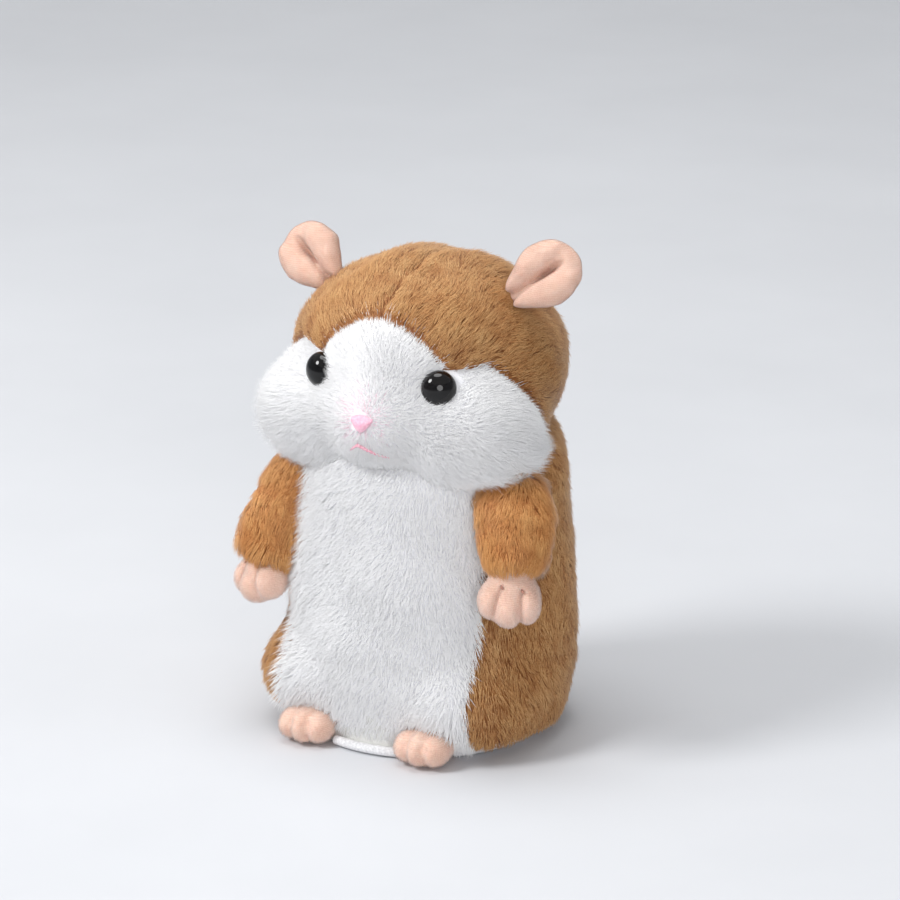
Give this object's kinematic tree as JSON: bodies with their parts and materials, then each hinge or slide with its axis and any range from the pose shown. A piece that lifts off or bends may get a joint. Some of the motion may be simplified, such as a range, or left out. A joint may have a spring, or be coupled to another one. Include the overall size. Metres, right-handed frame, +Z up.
{
  "type": "interactive plush pet",
  "caption": "Stuffed hamster toy that stands on a round battery base; a geared crank lifts its body and head, and its arms swing.",
  "frame": {"origin": "centre of the footprint on the table", "axes": "+Z up, the face looks along -Y, +X is the pet's own left side"},
  "size_m": [0.1042, 0.085, 0.1539],
  "materials": {
    "white_plastic": "satin moulded",
    "cream_plastic": "satin moulded",
    "acetal": "smooth moulded",
    "black_plastic": "satin moulded",
    "steel": "bright zinc",
    "brass": "cut brass",
    "board": "solder mask",
    "cell_jacket": "printed film",
    "lead_red": "soft sheath",
    "lead_blue": "soft sheath",
    "plush_brown": "short pile",
    "plush_white": "short pile",
    "felt_peach": "brushed tricot",
    "stuffing": "polyester fibre",
    "thread_pink": "embroidery thread",
    "cord_white": "braided",
    "eye_black": "polished"
  },
  "bodies": {
    "base": {"base_shell": "white_plastic", "base_deck": "white_plastic", "chassis_screws": "steel", "battery_cells": "cell_jacket", "battery_contacts": "steel", "circuit_board": "board", "board_components": "black_plastic", "microphone": "steel", "switch_case": "steel", "motor_can": "steel", "motor_end_cap": "white_plastic", "gearbox_rear_plate": "cream_plastic", "gearbox_front_plate": "cream_plastic", "idler_shaft": "steel", "guide_rods": "steel", "speaker_bracket": "white_plastic", "speaker_frame": "black_plastic", "speaker_cone": "black_plastic", "speaker_magnet": "steel", "power_leads": "lead_red", "signal_leads": "lead_blue", "skirt_front_plush": "plush_white", "skirt_back_plush": "plush_brown", "hem_cord": "cord_white", "foot_left": "felt_peach", "foot_right": "felt_peach"},
    "switch": {"switch_knob": "black_plastic"},
    "door": {"battery_door": "white_plastic", "door_screw": "steel"},
    "rotor": {"motor_shaft": "steel", "motor_pinion": "brass"},
    "idler": {"idler_gear": "acetal"},
    "crank": {"crank_gear": "acetal", "crank_shaft": "steel", "crank_disc": "acetal"},
    "carriage": {"lift_yoke": "acetal", "carriage_screws": "steel", "torso_shell_front": "white_plastic", "torso_shell_rear": "white_plastic", "neck_post": "white_plastic", "body_batting": "stuffing", "belly_plush": "plush_white", "back_plush": "plush_brown", "head_stuffing": "stuffing", "face_plush": "plush_white", "head_back_plush": "plush_brown", "ear_left": "felt_peach", "ear_right": "felt_peach", "eye_left": "eye_black", "eye_right": "eye_black", "eye_washers": "white_plastic", "nose": "thread_pink", "mouth_thread": "thread_pink"},
    "arm_left": {"sleeve_left": "plush_brown", "arm_stuffing_left": "stuffing", "paw_left": "felt_peach"},
    "arm_right": {"sleeve_right": "plush_brown", "arm_stuffing_right": "stuffing", "paw_right": "felt_peach"}
  },
  "joints": [
    {"name": "body_lift", "type": "slide", "parent": "base", "child": "carriage", "axis": [0, 0, 1], "range_m": [0, 0.008]},
    {"name": "crank_turn", "type": "hinge", "parent": "base", "child": "crank", "pos_m": [0, 0, 0.065], "axis": [0, -1, 0], "range_deg": [-2, 122]},
    {"name": "idler_turn", "type": "hinge", "parent": "base", "child": "idler", "pos_m": [0, 0, 0.0515], "axis": [0, 1, 0], "range_deg": [-8, 488]},
    {"name": "motor_turn", "type": "hinge", "parent": "base", "child": "rotor", "pos_m": [0, 0, 0.0383], "axis": [0, -1, 0], "range_deg": [-36, 2196]},
    {"name": "power_switch", "type": "slide", "parent": "base", "child": "switch", "axis": [1, 0, 0], "range_m": [0, 0.003]},
    {"name": "door_hinge", "type": "hinge", "parent": "base", "child": "door", "pos_m": [-0.02395, 0, 0.0012], "axis": [0, 1, 0], "range_deg": [0, 95]},
    {"name": "arm_left_swing", "type": "hinge", "parent": "carriage", "child": "arm_left", "pos_m": [0.0387, -0.0152, 0.079], "axis": [-0.3933, -0.885, 0.2492], "range_deg": [0, 70]},
    {"name": "arm_right_swing", "type": "hinge", "parent": "carriage", "child": "arm_right", "pos_m": [-0.0387, -0.0152, 0.079], "axis": [-0.3933, 0.885, -0.2492], "range_deg": [0, 70]}
  ],
  "couplings": [
    {"joint": "crank_turn", "follows": "body_lift", "rad_per_m": 261.8},
    {"joint": "idler_turn", "follows": "body_lift", "rad_per_m": 1047.2},
    {"joint": "motor_turn", "follows": "body_lift", "rad_per_m": 4712.4}
  ]
}
